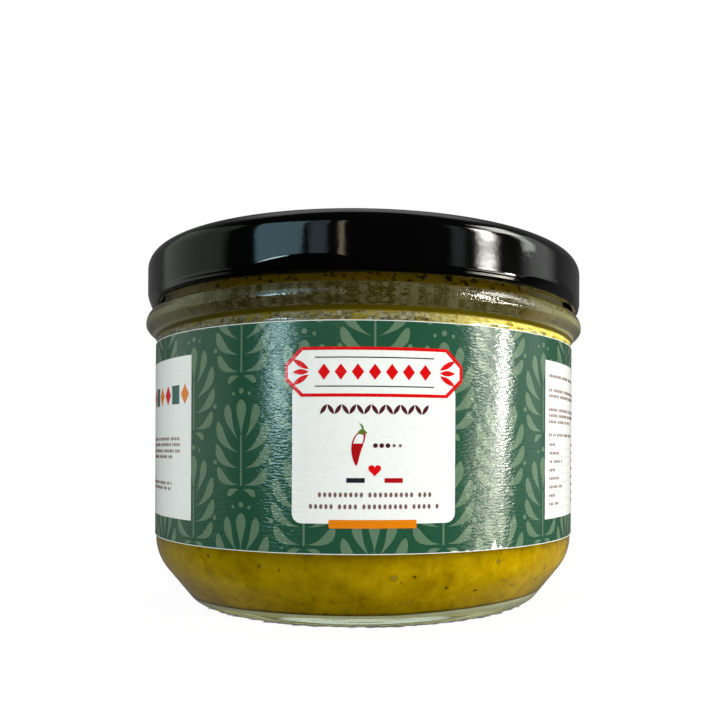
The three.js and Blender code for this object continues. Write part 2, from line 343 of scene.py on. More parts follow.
# %% [markdown]
# ## Turning a profile
# Jar, food and lid are all round, as they are in life: a jar is blown in a mould, and a lid is pressed.
# Blender's Screw modifier could turn a profile, but the jar needs threads and a rough foot, and the lid
# needs lugs, so the rows are turned in code, where each point can be shifted before the mesh is made.
# A bearing is measured from the front, towards the right, as for the lamps.

# %% Profiles and turned meshes
def arc(centre, size, start, end, steps=10):
    """Points of an arc in a profile of radius and height, between two angles in degrees."""
    angles = np.radians(np.linspace(start, end, steps + 1))
    return [(centre[0] + size * math.cos(a), centre[1] + size * math.sin(a)) for a in angles]


def smooth_curve(points, steps=6):
    """A soft curve through points, by the Catmull-Rom formula."""
    held = [points[0], *points, points[-1]]
    made = []
    for a, b, c, d in zip(held, held[1:], held[2:], held[3:]):
        a, b, c, d = (np.array(p, float) for p in (a, b, c, d))
        for i in range(steps):
            t = i / steps
            bend = t * (2 * a - 5 * b + 4 * c - d + t * (3 * (b - c) + d - a))
            made.append(tuple(b + 0.5 * t * (c - a + bend)))
    return [*made, tuple(points[-1])]


def densify(profile, longest):
    """The profile with points added. The longest step is a length, or a function of height and radius."""
    made = [profile[0]]
    for (r0, z0), (r1, z1) in zip(profile, profile[1:]):
        limit = longest((z0 + z1) / 2, (r0 + r1) / 2) if callable(longest) else longest
        parts = max(1, math.ceil(math.hypot(r1 - r0, z1 - z0) / limit))
        made += [(r0 + (r1 - r0) * i / parts, z0 + (z1 - z0) * i / parts) for i in range(1, parts + 1)]
    return made


def finish_piece(name, mesh, slot, materials, node=None, sharp=None):
    """A smooth piece from its mesh, riding on the jar, and standing for a node if one is named."""
    mesh.shade_smooth()
    if sharp is not None:
        mesh.set_sharp_from_angle(angle=math.radians(sharp))
    for m in materials:
        mesh.materials.append(m)
    made = bpy.data.objects.new(name, mesh)
    bpy.context.collection.objects.link(made)
    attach(made, "root")
    if node:
        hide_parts(node)
    print(f"{name}: {sum(len(f.vertices) - 2 for f in mesh.polygons)} triangles")
    return made


def mesh_piece(name, places, faces, *rest, **named):
    """A piece from points in millimetres and the faces between them."""
    mesh = bpy.data.meshes.new(name)
    mesh.from_pydata((np.asarray(places) * MM).tolist(), [], faces)
    return finish_piece(name, mesh, *rest, **named)


def turned(profile, steps, shift=None):
    """Points and faces of a profile turned about +Z. It starts and ends on the axis, underside first."""
    rows = np.array(profile)[1:-1]
    bearing = np.linspace(0, 2 * math.pi, steps, endpoint=False)[None, :]
    radius = np.repeat(rows[:, :1], steps, 1)
    height = np.repeat(rows[:, 1:], steps, 1)
    if shift:
        radius, height = shift(bearing, radius, height)
    grid = np.stack([radius * np.sin(bearing), -radius * np.cos(bearing), height], 2).reshape(-1, 3)
    ends = np.array([[0, 0, profile[0][1]], [0, 0, profile[-1][1]]])
    places = np.concatenate([grid, ends])
    count = len(rows)
    low, high = count * steps, count * steps + 1
    faces = []
    for j in range(steps):
        k = (j + 1) % steps
        faces.append((low, k, j))
        faces.append((high, (count - 1) * steps + j, (count - 1) * steps + k))
        faces += [(i * steps + j, i * steps + k, (i + 1) * steps + k, (i + 1) * steps + j)
                  for i in range(count - 1)]
    return places, faces


# %% [markdown]
# ## The jar's form
# A preserve jar has a shallow push-up under its base, so that it stands on a ring. Its side slopes in at the
# heel, stands straight for the label, and ends in a shoulder bead that guards the label in packing. Above
# it is the finish: a narrower wall with short threads, one for each lug of the lid, and a rounded rim.
# The inside follows the outside a wall's thickness away, which is why both are worked out by one function.

# %% The jar's sizes
WALL = 2.6
BODY_RADIUS = FOOD_RADIUS + 0.3 + WALL
PUSH_UP = 1.5
PUSH_UP_SHOULDER = (18.0, 1.1)
FOOT_INNER_RADIUS = 30.0
FOOT_ARC = 3.4
CAVITY_FOOT_ARC = 5.6
HEEL_ARC = 9.4
HEEL_TOP = 12.45
HEEL_SLOPE = 38.0
BASE_THICKNESS = 2.8
NECK_RADIUS = 39.9
MOUTH_RADIUS = 37.3
RIM_ARC = 0.8
BEAD_TOP = 54.5
print(f"glass {2 * BODY_RADIUS:.1f} across, wall {WALL}, base {BASE_THICKNESS}")


# %% Heel and cavity
def heel(radius, heel_arc, foot_arc, ground):
    """From the ground up: a foot arc and a heel arc, joined by a straight slope that touches both."""
    slope = math.radians(HEEL_SLOPE)
    slope_top = (radius - heel_arc * (1 - math.cos(slope)), HEEL_TOP - heel_arc * math.sin(slope))
    slope_foot_height = ground + foot_arc * (1 - math.sin(slope))
    slope_foot_radius = slope_top[0] - (slope_top[1] - slope_foot_height) * math.tan(slope)
    foot_centre = (slope_foot_radius - foot_arc * math.cos(slope), ground + foot_arc)
    return [*arc(foot_centre, foot_arc, -90, -HEEL_SLOPE, 12),
            *arc((radius - heel_arc, HEEL_TOP), heel_arc, -HEEL_SLOPE, 0, 12)]


def cavity(grown, top):
    """Inside of the jar from its middle up to the mouth, grown by what fills it reaching into the wall."""
    radius = BODY_RADIUS - WALL + grown
    floor_height = BASE_THICKNESS - grown
    middle = smooth_curve([(0, PUSH_UP + floor_height),
                           (PUSH_UP_SHOULDER[0], PUSH_UP_SHOULDER[1] + floor_height),
                           (26.0, floor_height + 0.25)], 4)[:-1]
    wall_up = heel(radius, HEEL_ARC - WALL + grown, CAVITY_FOOT_ARC, floor_height)
    shoulder = smooth_curve([(radius, 46.5), (radius, 48.6), (radius - 0.6, 51.0),
                             (MOUTH_RADIUS + grown, BEAD_TOP), (MOUTH_RADIUS + grown, 56.5)], 5)
    return [*middle, *wall_up, *shoulder, (MOUTH_RADIUS + grown, top)]


print(f"cavity: {len(cavity(0.0, FOOD_LEVEL))} points up to the paste's top")

# %% Threads and stippled foot
THREADS = 6
THREAD_FIRST = -14.0  # bearing of the middle of the lug that the first thread starts over
THREAD_SPAN = 46.0
THREAD_START = 58.7
THREAD_RISE = 1.7
THREAD_HALF = 0.75
THREAD_REACH = 1.1
STIPPLE_PITCH = 2.6
STIPPLE_DEPTH = 0.25
STIPPLE_RING = (32.3, 2.2)  # radius of the stippled ring, and how far it reaches to either side


def threads_and_stipple(bearing, radius, height):
    """Threads stand out from the neck, and the foot is cut upward in short uneven ridges."""
    share = (np.degrees(bearing) - THREAD_FIRST) % (360 / THREADS) / THREAD_SPAN
    centre = THREAD_START + share * THREAD_RISE
    ridge = np.clip(1 - ((height - centre) / THREAD_HALF) ** 2, 0, 1) ** 0.5
    ends = np.clip(np.minimum(share, 1 - share) * 12, 0, 1)
    outside = (radius > NECK_RADIUS - 0.2) & (height > BEAD_TOP + 0.7)
    radius = radius + np.where(outside, THREAD_REACH * ridge * ends, 0)
    ridges = bearing * 32 / STIPPLE_PITCH  # counted round a ring of 32 mm
    uneven = 0.5 + 0.5 * np.sin(2 * math.pi * ridges + 1.3 * np.sin(5 * bearing)
                                + 0.9 * np.sin(23 * bearing + radius))
    band = np.clip(1 - np.abs(radius - STIPPLE_RING[0]) / STIPPLE_RING[1], 0, 1) * (height < 0.6)
    return radius, height + STIPPLE_DEPTH * uneven * np.clip(band * 1.6, 0, 1)


print(f"{THREADS} threads rise {THREAD_RISE} mm over {THREAD_SPAN} degrees")

# %% The glass from its underside to its rim and down inside
bead = [(BODY_RADIUS, 48.6), (BODY_RADIUS, 49.4), (41.9, 50.5), (42.75, 51.3), (43.22, 52.0),
        (BEAD_RADIUS, 52.7), (43.16, 53.4), (42.75, 54.2), (42.2, 54.5), (40.4, 54.65), (NECK_RADIUS, 55.2)]
outside = [(0, PUSH_UP), *smooth_curve([PUSH_UP_SHOULDER, (26.5, 0.75), (FOOT_INNER_RADIUS - 1.0, 0.25),
                                        (FOOT_INNER_RADIUS, 0.0)], 5),
           *heel(BODY_RADIUS, HEEL_ARC, FOOT_ARC, 0.0), *smooth_curve(bead, 4)]
rim = [*arc((NECK_RADIUS - RIM_ARC, RIM_HEIGHT - RIM_ARC), RIM_ARC, 0, 90, 6),
       *arc((MOUTH_RADIUS + RIM_ARC, RIM_HEIGHT - RIM_ARC), RIM_ARC, 90, 180, 6)]


def glass_row(height, radius):
    """Rows lie close where the foot is stippled and where the threads are, and further apart elsewhere."""
    fine = (height < 0.8 and radius > 29) or (radius > 39 and 57 < height < 62)
    return 0.45 if fine else 2.8


inside = cavity(0.0, RIM_HEIGHT - RIM_ARC)[::-1]
glass_profile = densify([*outside, *rim, *inside[1:]], glass_row)
print(f"glass profile: {len(glass_profile)} rows")

# %% [markdown]
# The glass is soda-lime, the common container glass, moulded and fire-polished. Its index of refraction is
# 1.52, and iron in it takes a little red and blue, which gives thick parts such as the foot their pale green.
# A tint on the surface would green the thin wall as much as the thick foot, so the tint is an absorption
# inside the glass, which grows with the length of the light's way through it.
# A jar's neck is pressed first, in the cold ring of the mould, and there and on the bead the chilled skin
# stays finely wrinkled. It breaks up the windows that they mirror, while the heel is smooth.

# %% Glass material
GLASS_IOR = 1.52
TINT_DENSITY = 22.0  # for each metre of glass
SKIN_DEPTH = 0.06
SKIN_PITCH = 0.6
SKIN_RISE = (50.0, 51.5)  # heights over which the wrinkles start

soda_lime, tree = material("fire_polished_soda_lime_glass")
place = add(tree, "ShaderNodeTexCoord").outputs["Object"]
height = add(tree, "ShaderNodeSeparateXYZ", {0: place}).outputs["Z"]
skin = add(tree, "ShaderNodeTexNoise", {"Vector": place, "Scale": 1 / (SKIN_PITCH * MM), "Detail": 2.0})
depth = add(tree, "ShaderNodeMapRange", {"Value": height, "From Min": SKIN_RISE[0] * MM,
                                         "From Max": SKIN_RISE[1] * MM, "To Max": SKIN_DEPTH * MM})
relief = add(tree, "ShaderNodeBump", {"Height": skin.outputs[0], "Distance": depth.outputs[0]})
surface = add(tree, "ShaderNodeBsdfPrincipled", {"Base Color": (1, 1, 1, 1), "Roughness": 0.0,
                                                  "IOR": GLASS_IOR, "Transmission Weight": 1.0,
                                                  "Normal": relief.outputs[0]})
body_tint = add(tree, "ShaderNodeVolumeAbsorption", {"Color": linear("#d1e7da"), "Density": TINT_DENSITY})
add(tree, "ShaderNodeOutputMaterial", {"Surface": surface.outputs[0], "Volume": body_tint.outputs[0]})
print(f"{soda_lime.name}: {len(tree.nodes)} nodes")

# %% Turn the glass
JAR_STEPS = 456
places, faces = turned(glass_profile, JAR_STEPS, threads_and_stipple)
jar = mesh_piece("jar_glass", places, faces, "jar_glass", [soda_lime], "glass_jar")
jar.visible_shadow = False  # the lamps then light the food without a search for a way through the glass

# %% [markdown]
# ## The guacamole
# The paste fills the jar and wets the glass, so no air shows between them. A gap of even a hair would turn
# the wall into a mirror, so the paste reaches a tenth of a millimetre into the glass and the inner wall
# vanishes inside it. Its top is uneven, as a filling nozzle leaves it.

# %% The paste's form
WETTED = 0.1
TOP_RELIEF = 0.25
TOP_LUMP = 7.0


def uneven_top(bearing, radius, height):
    """Lifts and lowers the paste's top in soft lumps."""
    waves = [noise.noise(Vector((r * math.sin(b), r * math.cos(b), 0)) / TOP_LUMP)
             for r, b in zip(radius.ravel(), np.broadcast_to(bearing, radius.shape).ravel())]
    on_top = height > FOOD_LEVEL - 0.01
    return radius, height + np.where(on_top, TOP_RELIEF * np.reshape(waves, radius.shape), 0)


paste_profile = densify([*cavity(WETTED, FOOD_LEVEL), (0, FOOD_LEVEL)], 1.5)
print(f"paste profile: {len(paste_profile)} rows")

# %% [markdown]
# ## The paste's colours
# Guacamole is avocado crushed to a paste, with oil in it, and pasteurising turns it from green to a golden
# olive. It isn't one colour: pale and dull lumps of flesh lie in an olive paste that changes slowly from
# place to place. A picture could be wrapped round it, but noises at the sizes of the lumps stay sharp from
# near and have no seam. Every part of the recipe is a colour laid over what is there, by a share. A share
# comes from lumps of a size in millimetres, or from how high or how far to the right a place is.

# %% What the colours are laid by
paste, tree = material("crushed_avocado_paste")
place = add(tree, "ShaderNodeTexCoord").outputs["Object"]
part = add(tree, "ShaderNodeSeparateXYZ", {0: place})


def lumps(size, low, high, most=1.0, detail=4.0, rough=0.65, vector=place):
    """Where lumps of a size lie: a noise, and how far it has come from one of its values to another."""
    grain = add(tree, "ShaderNodeTexNoise", {"Vector": vector, "Scale": 1 / (size * MM), "Detail": detail,
                                             "Roughness": rough})
    return add(tree, "ShaderNodeMapRange", {"Value": grain.outputs[0], "From Min": low, "From Max": high,
                                            "To Max": most}).outputs[0]


def along_axis(axis, low, high):
    """A share that rises from nothing to one between two places on an axis, in millimetres."""
    return add(tree, "ShaderNodeMapRange", {"Value": part.outputs[axis], "From Min": low * MM,
                                            "From Max": high * MM}).outputs[0]


def layered(under, *layers):
    """Colours laid one over another, each by its own share. A colour is a hex value or a socket."""
    tone = under
    for share, over in layers:
        a, b = (linear(c) if isinstance(c, str) else c for c in (tone, over))
        mixed = add(tree, "ShaderNodeMix", {"Factor": share, "A": a, "B": b}, data_type="RGBA")
        tone = mixed.outputs["Result"]
    return tone


print(f"{paste.name} starts with {len(tree.nodes)} nodes")

# %% Olive paste with pale and dull lumps
tone = layered("#977a00", (lumps(8.0, 0.35, 0.65, detail=2.0, rough=0.5), "#ae8f02"),
               (lumps(2.2, 0.5, 0.72, 0.6), "#bc9f12"), (lumps(2.2, 0.47, 0.3, 0.6), "#725d02"))
print(f"paste: {len(tree.nodes)} nodes for the pulp")

# %% [markdown]
# The dark flecks are bits of herb and pepper, from a quarter of a millimetre to one millimetre long. They
# could be modelled one by one, but they lie flat in the paste. So they are cells of a Voronoi pattern: each
# cell has a number of its own, which says how large its fleck is, and in four cells of ten it has no size.
# A fine noise bends the place at which the pattern is looked up, so that the flecks come out ragged.

# %% Flecks of herb and pepper
FLECK_PITCH = 1.7
FLECK_BEND = 0.9
FLECK_FROM = 0.38  # a cell holds a fleck where its own number is above this
FLECK_SIZE = 0.23  # of the pitch, for the largest
FLECK_EDGE = 0.1
FLECK_TOP = (48, 46)  # heights over which they fade, under the shoulder

wobble = add(tree, "ShaderNodeTexNoise", {"Vector": place, "Scale": 1 / (0.6 * MM), "Detail": 2.0})
shift = add(tree, "ShaderNodeVectorMath", {0: wobble.outputs["Color"], "Scale": FLECK_BEND * MM},
            operation="SCALE")
bent = add(tree, "ShaderNodeVectorMath", {0: place, 1: shift.outputs[0]}, operation="ADD")
cells = add(tree, "ShaderNodeTexVoronoi", {"Vector": bent.outputs[0], "Scale": 1 / (FLECK_PITCH * MM)})
number = add(tree, "ShaderNodeSeparateColor", {0: cells.outputs["Color"]})
size = add(tree, "ShaderNodeMapRange", {"Value": number.outputs[0], "From Min": FLECK_FROM,
                                        "To Max": FLECK_SIZE})
size = add(tree, "ShaderNodeMath", {0: size.outputs[0], 1: along_axis("Z", *FLECK_TOP)}, operation="MULTIPLY")
within = add(tree, "ShaderNodeMath", {0: size.outputs[0], 1: cells.outputs["Distance"]}, operation="SUBTRACT")
fleck = add(tree, "ShaderNodeMapRange", {"Value": within.outputs[0], "From Max": FLECK_EDGE})
tone = layered(tone, (fleck.outputs[0], layered("#332a05", (number.outputs[1], "#664c05"))))
print(f"paste: {len(tree.nodes)} nodes with the flecks")

# %% [markdown]
# Under the shoulder, where the jar narrows, the paste has come off the glass in tiny patches and looks grey
# and mottled. Towards the right, on the bright window's side, a painted light turns it bright yellow and
# hides most of the small dark clots.

# %% The mottled band under the shoulder
BAND_LIT_SPAN = (6, 24)  # how far to the right of the axis the painted light starts, and where it is full
BAND_FOOT = (41, 43)
BAND_HEAD = (51.6, 50.9)
BAND_STRENGTH = 0.95
CLOTS_UNDER_LIGHT = 0.35  # of the dark clots, kept where the painted light is full

# Painted light: the band turns bright yellow towards the window's side, with fewer dark clots there.
band_painted_light = along_axis("X", *BAND_LIT_SPAN)
dry = layered("#98967c", (lumps(0.9, 0.4, 0.6), "#585134"),
              (lumps(2.2, 0.5, 0.6, 0.7, detail=2.0), "#8f7c14"))
painted_lit_band = layered("#fff08c", (lumps(1.4, 0.42, 0.6), "#e2c838"))
fewer = add(tree, "ShaderNodeMapRange", {"Value": band_painted_light, "From Min": 1.0, "From Max": 0.0,
                                         "To Min": CLOTS_UNDER_LIGHT})
dark_clots = add(tree, "ShaderNodeMath", {0: lumps(0.5, 0.58, 0.64), 1: fewer.outputs[0]},
                 operation="MULTIPLY")
mottled = layered(dry, (band_painted_light, painted_lit_band), (dark_clots.outputs[0], "#1e1606"))
band = add(tree, "ShaderNodeMath", {0: along_axis("Z", *BAND_FOOT), 1: along_axis("Z", *BAND_HEAD)},
           operation="MULTIPLY")
band = add(tree, "ShaderNodeMath", {0: band.outputs[0], 1: BAND_STRENGTH}, operation="MULTIPLY")
tone = layered(tone, (band.outputs[0], mottled))
print(f"paste: {len(tree.nodes)} nodes with the mottled band")

# %% [markdown]
# Above the band the glass swells into the bead, which is a lens. It shows a strip of paste one millimetre
# high drawn out to six, so there the noise is squeezed to a sixth of its height to look even. Behind the bead
# the paste is painted a dark dull olive with grey spots, a painted shade with a painted grey reflection, and
# under it runs a painted dark line of shade. Above it, in the neck, the paste is painted browner and darker
# for the shade under the lid, and holds dark clots. Both turn pale at the jar's sides, painted light where
# light comes round.

# %% Paste in the bead and the neck
SIDES = (24, 37)  # distance from the axis, left or right, over which it turns pale
NECK_SIDES = 0.8  # how far it does so in the neck
BEAD_DRAWN_OUT = 6

sideways = add(tree, "ShaderNodeMath", {0: part.outputs["X"]}, operation="ABSOLUTE")
ends = add(tree, "ShaderNodeMapRange", {"Value": sideways.outputs[0], "From Min": SIDES[0] * MM,
                                        "From Max": SIDES[1] * MM}).outputs[0]
neck_ends = add(tree, "ShaderNodeMath", {0: ends, 1: NECK_SIDES}, operation="MULTIPLY").outputs[0]
squeezed = add(tree, "ShaderNodeVectorMath", {0: place, 1: (1, 1, BEAD_DRAWN_OUT)}, operation="MULTIPLY")
spots = lumps(1.3, 0.42, 0.62, rough=0.5, vector=squeezed.outputs[0])
# Painted shade behind the bead, with grey spots of painted reflection and painted light at the sides.
in_bead = layered("#3a3208", (spots, "#6a6346"), (ends, "#a39f70"))
# Painted shade under the lid in the neck, with dark clots in it and painted light at the sides.
in_neck = layered("#665208", (lumps(1.2, 0.54, 0.6), "#1e1706"), (neck_ends, "#b4ae90"))
# A painted dark line of shade under the bead, then the bead's and the neck's painted tones.
tone = layered(tone, (along_axis("Z", 50.9, 51.5), "#4a3f04"), (along_axis("Z", 52.8, 53.1), in_bead),
               (along_axis("Z", 54.2, 54.6), in_neck))
print(f"paste: {len(tree.nodes)} nodes with the bead and the neck")

# %% [markdown]
# At the foot little light reaches the paste's lowest edge, which is a dark line that climbs a little to the
# right. Below that line the thick corner of the glass pipes light in from the table. Tracing that light
# takes very long, so the paste is simply pale there.
# Oily paste bends light less than glass does, 1.44 against 1.52, and mirrors light that meets it through
# the glass at a low angle. The shader's IOR is the ratio of the two.

# %% The lowest edge and the shader
PASTE_IOR = 1.44
LOWEST_EDGE = (3.0, 3.85)  # height of the dark line, to the left of the middle and at the far right
EDGE_SPAN = (4, 31)  # how far to the right of the axis it starts and stops climbing
EDGE_LINE = (0.05, 0.5, 0.2)  # heights over it where the line starts and ends, and the light left in it
EDGE_SHADE = (0.4, 5.0, 0.68)  # the same of the softer shade above it
LIT_CORNER = (25.5, 28.0)  # radius from which the glass corner pipes light

edge = add(tree, "ShaderNodeMapRange", {"Value": part.outputs["X"], "From Min": EDGE_SPAN[0] * MM,
                                        "From Max": EDGE_SPAN[1] * MM, "To Min": LOWEST_EDGE[0] * MM,
                                        "To Max": LOWEST_EDGE[1] * MM})
over = add(tree, "ShaderNodeMath", {0: part.outputs["Z"], 1: edge.outputs[0]},
           operation="SUBTRACT").outputs[0]
line, shade = (add(tree, "ShaderNodeMapRange", {"Value": over, "From Min": start * MM, "From Max": end * MM,
                                                "To Min": left}).outputs[0]
               for start, end, left in (EDGE_LINE, EDGE_SHADE))
dimmed = add(tree, "ShaderNodeMath", {0: line, 1: shade}, operation="MULTIPLY").outputs[0]
tone = add(tree, "ShaderNodeMix", {"Factor": 1.0, "A": tone, "B": dimmed}, data_type="RGBA",
           blend_type="MULTIPLY").outputs["Result"]
flat = add(tree, "ShaderNodeCombineXYZ", {"X": part.outputs["X"], "Y": part.outputs["Y"]}).outputs[0]
around = add(tree, "ShaderNodeVectorMath", {0: flat}, operation="LENGTH").outputs["Value"]
outward = add(tree, "ShaderNodeMapRange", {"Value": around, "From Min": LIT_CORNER[0] * MM,
                                           "From Max": LIT_CORNER[1] * MM})
below = add(tree, "ShaderNodeMapRange", {"Value": over, "From Min": EDGE_LINE[0] * MM,
                                         "From Max": -EDGE_LINE[0] * MM})
corner = add(tree, "ShaderNodeMath", {0: below.outputs[0], 1: outward.outputs[0]}, operation="MULTIPLY")
tone = layered(tone, (corner.outputs[0], "#bcbf98"))
surface = add(tree, "ShaderNodeBsdfPrincipled", {"Base Color": tone, "Roughness": 0.05,
                                                  "IOR": PASTE_IOR / GLASS_IOR})
add(tree, "ShaderNodeOutputMaterial", {"Surface": surface.outputs[0]})
print(f"paste: {len(tree.nodes)} nodes in all")

# %% Turn the paste
PASTE_STEPS = 480
places, faces = turned(paste_profile, PASTE_STEPS, uneven_top)
mesh_piece("guacamole_fill", places, faces, "guacamole", [paste], "guacamole")

# %% [markdown]
# ## Air against the glass
# Filling leaves air: a few round bubbles low down, and under the shoulder, where the jar narrows, a whole
# band of flat ragged pockets. Seen through glass an air pocket turns silvery at its edge, where the light
# is mirrored inside the glass. Each is a small squashed ball that stands across the inner wall, half in the
# glass and half in the paste, with air's IOR divided by the glass's.

# %% Air's material
air, tree = material("air_behind_glass")
surface = add(tree, "ShaderNodeBsdfPrincipled", {"Base Color": (1, 1, 1, 1), "Roughness": 0.0,
                                                  "IOR": 1.0 / GLASS_IOR, "Transmission Weight": 1.0})
add(tree, "ShaderNodeOutputMaterial", {"Surface": surface.outputs[0]})
print(f"air against glass: IOR {1.0 / GLASS_IOR:.3f}")

# %% One pocket against the inner wall
wall_line = [(z, r) for r, z in cavity(0.0, RIM_HEIGHT) if r > 31]
wall_heights, wall_radii = zip(*sorted(wall_line))


def wall_at(height):
    """The inner wall's radius at a height, and how much it leans out for each step up."""
    below, above = np.interp([height - 0.2, height + 0.2], wall_heights, wall_radii)
    return (below + above) / 2, (above - below) / 0.4


def pocket(into, bearing, height, wide, tall, deep, rough, chance):
    """Adds one squashed and roughened ball to a mesh, flat against the inner wall."""
    radius, lean = wall_at(height)
    b = math.radians(bearing)
    across = Vector((math.cos(b), math.sin(b), 0))
    out = Vector((math.sin(b), -math.cos(b), 0))
    up = (Vector((0, 0, 1)) + out * lean).normalized()
    normal = across.cross(up)
    middle = out * radius + Vector((0, 0, height)) + normal * (WETTED + 0.45 * deep)
    seed = Vector((chance.uniform(0, 99), chance.uniform(0, 99), 0))
    for v in bmesh.ops.create_icosphere(into, subdivisions=2, radius=1.0)["verts"]:
        swell = 1 + rough * noise.noise(v.co * 1.7 + seed)
        v.co = (middle + (across * v.co.x * wide + up * v.co.z * tall) * swell + normal * v.co.y * deep) * MM


print(f"inner wall at 49 mm: radius {wall_at(49.0)[0]:.2f} mm")

# %% Bubbles and pockets
BAND = (46.0, 51.0)
BAND_POCKETS = 260
SCATTERED_BUBBLES = 40
SHOWN_BUBBLES = [(-37.4, 9.4, 0.42), (-35.1, 8.9, 0.5), (4.7, 9.4, 0.5), (31.5, 11.0, 0.45),
                 (-60.9, 9.4, 0.55), (-55.1, 9.0, 0.55), (9.5, 5.4, 0.4)]  # bearing, height and radius

chance = random.Random(3)
pockets = bmesh.new()
for bearing, height, size in SHOWN_BUBBLES:
    pocket(pockets, bearing, height, size, size, 0.4 * size, 0.1, chance)
for _ in range(SCATTERED_BUBBLES):
    size = chance.uniform(0.15, 0.4)
    pocket(pockets, chance.uniform(60, 300), chance.uniform(6, 12), size, size, 0.5 * size, 0.2, chance)
for _ in range(BAND_POCKETS):
    size = chance.uniform(0.2, 0.8)
    pocket(pockets, chance.uniform(0, 360), chance.triangular(*BAND, 49.0), size,
           size * chance.uniform(0.4, 0.8), 0.16, 1.0, chance)
air_mesh = bpy.data.meshes.new("air_pockets")
pockets.to_mesh(air_mesh)
pockets.free()
finish_piece("air_pockets", air_mesh, "jar_glass", [air])

# %% [markdown]
# ## The lid
# A twist-off lid is pressed from tinplate that was lacquered flat. Its shoulder is a round bend, its edge is
# rolled inward into a curl, and the curl is pinched in at six places to make the lugs. Only the lower two
# millimetres of the skirt lean in, which cuts off whatever the skirt mirrors above. The pinch is a shift of
# the turned rows, so the skirt stays one sheet.

# %% The lid's form
LID_STEEL = 0.5
SHOULDER_ARC = 3.2
PANEL_RADIUS = 31.0
PANEL_RECESS = 0.9
BUTTON_RADIUS = 11.0
BUTTON_RECESS = 0.5
CURL_SIZE = 0.7
CURL_INSET = 0.15
SKIRT_BOTTOM = 57.0  # where the skirt turns in towards the curl, between the lugs
LUG_RISE = 1.3  # how much higher it turns in at a lug's middle
LUG_HALF_SPAN = 13.5
LUG_PRESS = 0.75
LUG_CREASE = (57.15, 0.3, 0.08)  # height, reach up and down, and depth of the crease over the curl
LUGS = 6


def step_down(radius, from_height, depth, below):
    """A soft step in the panel, seen from its edge towards the middle."""
    edge = radius + below
    return smooth_curve([(edge + 2.0, from_height), (edge + 1.3, from_height - 0.12 * depth),
                         (edge + 0.3, from_height - 0.88 * depth), (edge - 0.4, from_height - depth)], 5)


def panel(below):
    """Top of the lid from its shoulder to its middle, lowered by the thickness of what is above it."""
    top = LID_TOP - below
    return [*step_down(PANEL_RADIUS, top, PANEL_RECESS, below),
            *step_down(BUTTON_RADIUS, top - PANEL_RECESS, BUTTON_RECESS, below),
            (0, top - PANEL_RECESS - BUTTON_RECESS)]


def lug_press(bearing, radius, height):
    """Pinches the lower edge in at each lug, higher and deeper towards the lug's middle."""
    span = 360 / LUGS
    off = np.abs((np.degrees(bearing) - THREAD_FIRST + span / 2) % span - span / 2)
    share = np.cos(np.clip(off / LUG_HALF_SPAN, 0, 1) * math.pi / 2) ** 0.7
    top = SKIRT_BOTTOM + LUG_RISE * share
    depth = np.clip((top - height) / (top - LID_BOTTOM), 0, 1) ** 1.1
    at, reach_off, deep = LUG_CREASE
    crease = deep * np.exp(-((height - at) / reach_off) ** 2) * (radius > LID_RADIUS - 0.4)
    return radius - share * (LUG_PRESS * depth + crease), height


print(f"{LUGS} lugs, one every {360 / LUGS:.0f} degrees")

# %% The lid from its middle down inside and up outside
shoulder_centre = (LID_RADIUS - SHOULDER_ARC, LID_TOP - SHOULDER_ARC)
curl_centre = (LID_RADIUS - CURL_INSET - CURL_SIZE, LID_BOTTOM + CURL_SIZE)
inner_side = [*panel(LID_STEEL)[::-1], *arc(shoulder_centre, SHOULDER_ARC - LID_STEEL, 90, 0, 8),
              (LID_RADIUS - LID_STEEL, 59.0), (LID_RADIUS - LID_STEEL, 57.8)]
outer_side = [*arc(curl_centre, CURL_SIZE, 150, 360, 18),
              *smooth_curve([(LID_RADIUS - 0.12, 56.75), (LID_RADIUS - 0.03, 57.0), (LID_RADIUS, 57.3),
                             (LID_RADIUS, 57.8)], 3)[1:],
              *[(LID_RADIUS, z) for z in np.arange(58.0, 59.3, 0.25)],
              *arc(shoulder_centre, SHOULDER_ARC, 0, 90, 18), *panel(0)]
lid_profile = densify([*inner_side, *outer_side], 1.5)
print(f"lid profile: {len(lid_profile)} rows")

# %% [markdown]
# The lacquer is a stoved epoxy over tinplate: black, very smooth, but not quite flat. It has a slight orange
# peel, a waviness about a millimetre and a half long, that softens what it mirrors. As a coat over a base
# it needs no metal, because the pigment hides the steel. A few specks of dust lie on it.

# %% Lacquer material
PEEL_PITCH = 1.6
PEEL_DEPTH = 0.02
DUST_PITCH = 5.5
DUST_SHARE = 0.8  # a cell holds a speck where its own number is above this
DUST_SIZE = 0.03  # of the pitch, for the largest

lacquer, tree = material("stoved_black_lacquer")
place = add(tree, "ShaderNodeTexCoord").outputs["Object"]
peel = add(tree, "ShaderNodeTexNoise", {"Vector": place, "Scale": 1 / (PEEL_PITCH * MM), "Detail": 1.0})
dust = add(tree, "ShaderNodeTexVoronoi", {"Vector": place, "Scale": 1 / (DUST_PITCH * MM)})
number = add(tree, "ShaderNodeSeparateColor", {0: dust.outputs["Color"]})
size = add(tree, "ShaderNodeMapRange", {"Value": number.outputs[0], "From Min": DUST_SHARE,
                                        "To Max": DUST_SIZE})
speck = add(tree, "ShaderNodeMath", {0: dust.outputs["Distance"], 1: size.outputs[0]}, operation="LESS_THAN")
ink = add(tree, "ShaderNodeMix", {"Factor": speck.outputs[0], "A": linear("#050505"), "B": linear("#b9bcbb")},
          data_type="RGBA")
haze = add(tree, "ShaderNodeMix", {"Factor": speck.outputs[0], "A": 0.07, "B": 0.8})
relief = add(tree, "ShaderNodeBump", {"Height": peel.outputs[0], "Distance": PEEL_DEPTH * MM,
                                      "Strength": 0.6})
surface = add(tree, "ShaderNodeBsdfPrincipled", {"Base Color": ink.outputs["Result"],
                                                  "Roughness": haze.outputs[0], "IOR": 1.5,
                                                  "Normal": relief.outputs[0]})
